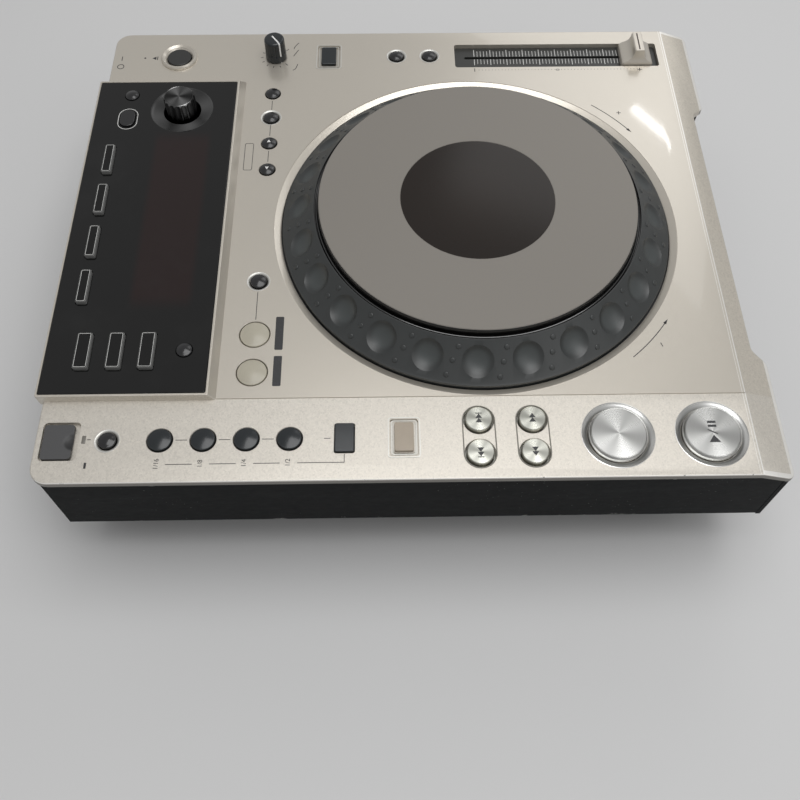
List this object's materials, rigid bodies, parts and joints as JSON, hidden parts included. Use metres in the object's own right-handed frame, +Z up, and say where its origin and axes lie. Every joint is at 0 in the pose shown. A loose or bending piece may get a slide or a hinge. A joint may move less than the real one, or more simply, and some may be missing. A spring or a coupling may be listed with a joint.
{
  "type": "tabletop dj cd player",
  "caption": "Tabletop slot-loading disc player for mixing music, with a large dimpled jog wheel, a tempo slider, press buttons, a raised display and rear jacks.",
  "frame": {"origin": "on the table, under the middle of the case's overall box", "axes": "+Z up, +X to the player's right, +Y to the rear; the controls are read from -Y"},
  "size_m": [0.305, 0.357, 0.1075],
  "materials": {
    "silver_paint": "warm silver metallic paint, satin",
    "black_cover": "black moulded cover, fine texture",
    "black_steel": "black painted sheet steel",
    "jog_rubber": "dark slate rubber-like grip ring",
    "jog_plate": "warm grey touch plate",
    "black_glass": "gloss black display window",
    "black_plastic": "semi-gloss black plastic",
    "slate_plastic": "dark slate plastic",
    "pale_plastic": "pale beige-green plastic",
    "grey_plastic": "light grey plastic with a dark top",
    "spun_aluminium": "spun aluminium",
    "foot_rubber": "black rubber",
    "zinc_steel": "zinc-plated sheet steel",
    "drive_plastic": "black moulded plastic",
    "circuit_board": "green circuit board"
  },
  "bodies": {
    "case": {"chassis_tray": "black_steel", "deck": "silver_paint", "display_glass": "black_glass", "drive_base": "drive_plastic", "drive_cover": "zinc_steel", "foot_front_left": "foot_rubber", "foot_front_right": "foot_rubber", "foot_rear_left": "foot_rubber", "foot_rear_right": "foot_rubber", "front_fascia": "silver_paint", "jog_base": "drive_plastic", "main_board": "circuit_board", "mains_unit": "zinc_steel", "rear_panel": "black_steel", "side_cover_left": "black_cover", "side_cover_right": "black_cover", "tempo_scale": "black_plastic"},
    "back_button": {"back_button": "black_plastic"},
    "beat_button_1": {"beat_button_1": "slate_plastic"},
    "beat_button_2": {"beat_button_2": "slate_plastic"},
    "beat_button_3": {"beat_button_3": "slate_plastic"},
    "beat_button_4": {"beat_button_4": "slate_plastic"},
    "beat_select_button": {"beat_select_button": "slate_plastic"},
    "browse_list_button": {"browse_list_button": "grey_plastic"},
    "call_back_button": {"call_back_button": "black_plastic"},
    "call_next_button": {"call_next_button": "black_plastic"},
    "computer_source_button": {"computer_source_button": "grey_plastic"},
    "cue_button": {"cue_button": "spun_aluminium"},
    "delete_button": {"delete_button": "black_plastic"},
    "disc_source_button": {"disc_source_button": "grey_plastic"},
    "eject_button": {"eject_button": "slate_plastic"},
    "info_button": {"info_button": "grey_plastic"},
    "jog_mode_button": {"jog_mode_button": "slate_plastic"},
    "loop_in_button": {"loop_in_button": "pale_plastic"},
    "loop_out_button": {"loop_out_button": "pale_plastic"},
    "master_tempo_button": {"master_tempo_button": "black_plastic"},
    "memory_button": {"memory_button": "black_plastic"},
    "menu_button": {"menu_button": "grey_plastic"},
    "play_button": {"play_button": "spun_aluminium"},
    "reloop_button": {"reloop_button": "black_plastic"},
    "reverse_button": {"reverse_button": "pale_plastic"},
    "search_back_button": {"search_back_button": "spun_aluminium"},
    "search_forward_button": {"search_forward_button": "spun_aluminium"},
    "stick_source_button": {"stick_source_button": "grey_plastic"},
    "tag_list_button": {"tag_list_button": "grey_plastic"},
    "tag_track_button": {"tag_track_button": "black_plastic"},
    "tempo_range_button": {"tempo_range_button": "black_plastic"},
    "time_mode_button": {"time_mode_button": "black_plastic"},
    "track_back_button": {"track_back_button": "spun_aluminium"},
    "track_forward_button": {"track_forward_button": "spun_aluminium"},
    "usb_stop_button": {"usb_stop_button": "black_plastic"},
    "jog_ring": {"jog_ring": "jog_rubber"},
    "jog_plate": {"jog_plate": "jog_plate"},
    "browse_shaft": {"browse_shaft": "zinc_steel"},
    "browse_knob": {"browse_knob": "black_plastic"},
    "speed_knob": {"speed_knob": "slate_plastic"},
    "tempo_slider": {"tempo_slider": "silver_paint"},
    "usb_lid": {"usb_lid": "slate_plastic"},
    "power_switch": {"power_switch": "black_plastic"},
    "disc_spindle": {"disc_spindle": "black_plastic"}
  },
  "joints": [
    {"name": "back_press", "type": "slide", "parent": "case", "child": "back_button", "axis": [0, 0, -1], "range_m": [0, 0.001], "stiffness_N_per_m": 250},
    {"name": "beat_press_1", "type": "slide", "parent": "case", "child": "beat_button_1", "axis": [0, 0, -1], "range_m": [0, 0.001], "stiffness_N_per_m": 250},
    {"name": "beat_press_2", "type": "slide", "parent": "case", "child": "beat_button_2", "axis": [0, 0, -1], "range_m": [0, 0.001], "stiffness_N_per_m": 250},
    {"name": "beat_press_3", "type": "slide", "parent": "case", "child": "beat_button_3", "axis": [0, 0, -1], "range_m": [0, 0.001], "stiffness_N_per_m": 250},
    {"name": "beat_press_4", "type": "slide", "parent": "case", "child": "beat_button_4", "axis": [0, 0, -1], "range_m": [0, 0.001], "stiffness_N_per_m": 250},
    {"name": "beat_select_press", "type": "slide", "parent": "case", "child": "beat_select_button", "axis": [0, 0, -1], "range_m": [0, 0.001], "stiffness_N_per_m": 250},
    {"name": "browse_list_press", "type": "slide", "parent": "case", "child": "browse_list_button", "axis": [0, 0, -1], "range_m": [0, 0.001], "stiffness_N_per_m": 250},
    {"name": "call_back_press", "type": "slide", "parent": "case", "child": "call_back_button", "axis": [0, 0, -1], "range_m": [0, 0.001], "stiffness_N_per_m": 250},
    {"name": "call_next_press", "type": "slide", "parent": "case", "child": "call_next_button", "axis": [0, 0, -1], "range_m": [0, 0.001], "stiffness_N_per_m": 250},
    {"name": "computer_source_press", "type": "slide", "parent": "case", "child": "computer_source_button", "axis": [0, 0, -1], "range_m": [0, 0.001], "stiffness_N_per_m": 250},
    {"name": "cue_press", "type": "slide", "parent": "case", "child": "cue_button", "axis": [0, 0, -1], "range_m": [0, 0.001], "stiffness_N_per_m": 400},
    {"name": "delete_press", "type": "slide", "parent": "case", "child": "delete_button", "axis": [0, 0, -1], "range_m": [0, 0.001], "stiffness_N_per_m": 250},
    {"name": "disc_source_press", "type": "slide", "parent": "case", "child": "disc_source_button", "axis": [0, 0, -1], "range_m": [0, 0.001], "stiffness_N_per_m": 250},
    {"name": "eject_press", "type": "slide", "parent": "case", "child": "eject_button", "axis": [0, 0, -1], "range_m": [0, 0.001], "stiffness_N_per_m": 250},
    {"name": "info_press", "type": "slide", "parent": "case", "child": "info_button", "axis": [0, 0, -1], "range_m": [0, 0.001], "stiffness_N_per_m": 250},
    {"name": "jog_mode_press", "type": "slide", "parent": "case", "child": "jog_mode_button", "axis": [0, 0, -1], "range_m": [0, 0.001], "stiffness_N_per_m": 250},
    {"name": "loop_in_press", "type": "slide", "parent": "case", "child": "loop_in_button", "axis": [0, 0, -1], "range_m": [0, 0.001], "stiffness_N_per_m": 250},
    {"name": "loop_out_press", "type": "slide", "parent": "case", "child": "loop_out_button", "axis": [0, 0, -1], "range_m": [0, 0.001], "stiffness_N_per_m": 250},
    {"name": "master_tempo_press", "type": "slide", "parent": "case", "child": "master_tempo_button", "axis": [0, 0, -1], "range_m": [0, 0.001], "stiffness_N_per_m": 250},
    {"name": "memory_press", "type": "slide", "parent": "case", "child": "memory_button", "axis": [0, 0, -1], "range_m": [0, 0.001], "stiffness_N_per_m": 250},
    {"name": "menu_press", "type": "slide", "parent": "case", "child": "menu_button", "axis": [0, 0, -1], "range_m": [0, 0.001], "stiffness_N_per_m": 250},
    {"name": "play_press", "type": "slide", "parent": "case", "child": "play_button", "axis": [0, 0, -1], "range_m": [0, 0.001], "stiffness_N_per_m": 400},
    {"name": "reloop_press", "type": "slide", "parent": "case", "child": "reloop_button", "axis": [0, 0, -1], "range_m": [0, 0.001], "stiffness_N_per_m": 250},
    {"name": "reverse_press", "type": "slide", "parent": "case", "child": "reverse_button", "axis": [0, 0, -1], "range_m": [0, 0.001], "stiffness_N_per_m": 250},
    {"name": "search_back_press", "type": "slide", "parent": "case", "child": "search_back_button", "axis": [0, 0, -1], "range_m": [0, 0.001], "stiffness_N_per_m": 250},
    {"name": "search_forward_press", "type": "slide", "parent": "case", "child": "search_forward_button", "axis": [0, 0, -1], "range_m": [0, 0.001], "stiffness_N_per_m": 250},
    {"name": "stick_source_press", "type": "slide", "parent": "case", "child": "stick_source_button", "axis": [0, 0, -1], "range_m": [0, 0.001], "stiffness_N_per_m": 250},
    {"name": "tag_list_press", "type": "slide", "parent": "case", "child": "tag_list_button", "axis": [0, 0, -1], "range_m": [0, 0.001], "stiffness_N_per_m": 250},
    {"name": "tag_track_press", "type": "slide", "parent": "case", "child": "tag_track_button", "axis": [0, 0, -1], "range_m": [0, 0.001], "stiffness_N_per_m": 250},
    {"name": "tempo_range_press", "type": "slide", "parent": "case", "child": "tempo_range_button", "axis": [0, 0, -1], "range_m": [0, 0.001], "stiffness_N_per_m": 250},
    {"name": "time_mode_press", "type": "slide", "parent": "case", "child": "time_mode_button", "axis": [0, 0, -1], "range_m": [0, 0.001], "stiffness_N_per_m": 250},
    {"name": "track_back_press", "type": "slide", "parent": "case", "child": "track_back_button", "axis": [0, 0, -1], "range_m": [0, 0.001], "stiffness_N_per_m": 250},
    {"name": "track_forward_press", "type": "slide", "parent": "case", "child": "track_forward_button", "axis": [0, 0, -1], "range_m": [0, 0.001], "stiffness_N_per_m": 250},
    {"name": "usb_stop_press", "type": "slide", "parent": "case", "child": "usb_stop_button", "axis": [0, 0, -1], "range_m": [0, 0.001], "stiffness_N_per_m": 250},
    {"name": "jog_spin", "type": "hinge", "parent": "case", "child": "jog_ring", "pos_m": [0, -0.0374, 0.089], "axis": [0, 0, 1], "continuous": true},
    {"name": "jog_plate_press", "type": "slide", "parent": "jog_ring", "child": "jog_plate", "axis": [0, 0, -1], "range_m": [0, 0.0004], "stiffness_N_per_m": 6000},
    {"name": "browse_press", "type": "slide", "parent": "case", "child": "browse_shaft", "axis": [0, 0, -1], "range_m": [0, 0.0006], "stiffness_N_per_m": 800},
    {"name": "browse_turn", "type": "hinge", "parent": "browse_shaft", "child": "browse_knob", "pos_m": [0.08191, 0.12792, 0.0936], "axis": [0, 0, 1], "continuous": true},
    {"name": "speed_turn", "type": "hinge", "parent": "case", "child": "speed_knob", "pos_m": [0.1308, 0.07637, 0.089], "axis": [0, 0, -1], "range_deg": [0, 270]},
    {"name": "tempo_slide", "type": "slide", "parent": "case", "child": "tempo_slider", "axis": [0, 1, 0], "range_m": [0, 0.1]},
    {"name": "usb_lid_hinge", "type": "hinge", "parent": "case", "child": "usb_lid", "pos_m": [-0.1308, 0.17133, 0.088], "axis": [-1, 0, 0], "range_deg": [0, 100]},
    {"name": "power_rock", "type": "hinge", "parent": "case", "child": "power_switch", "pos_m": [0.126, 0.1702, 0.062], "axis": [0, 0, 1], "range_deg": [0, 14]},
    {"name": "spindle_spin", "type": "hinge", "parent": "case", "child": "disc_spindle", "pos_m": [0, -0.0958, 0.057], "axis": [0, 0, 1], "continuous": true}
  ]
}
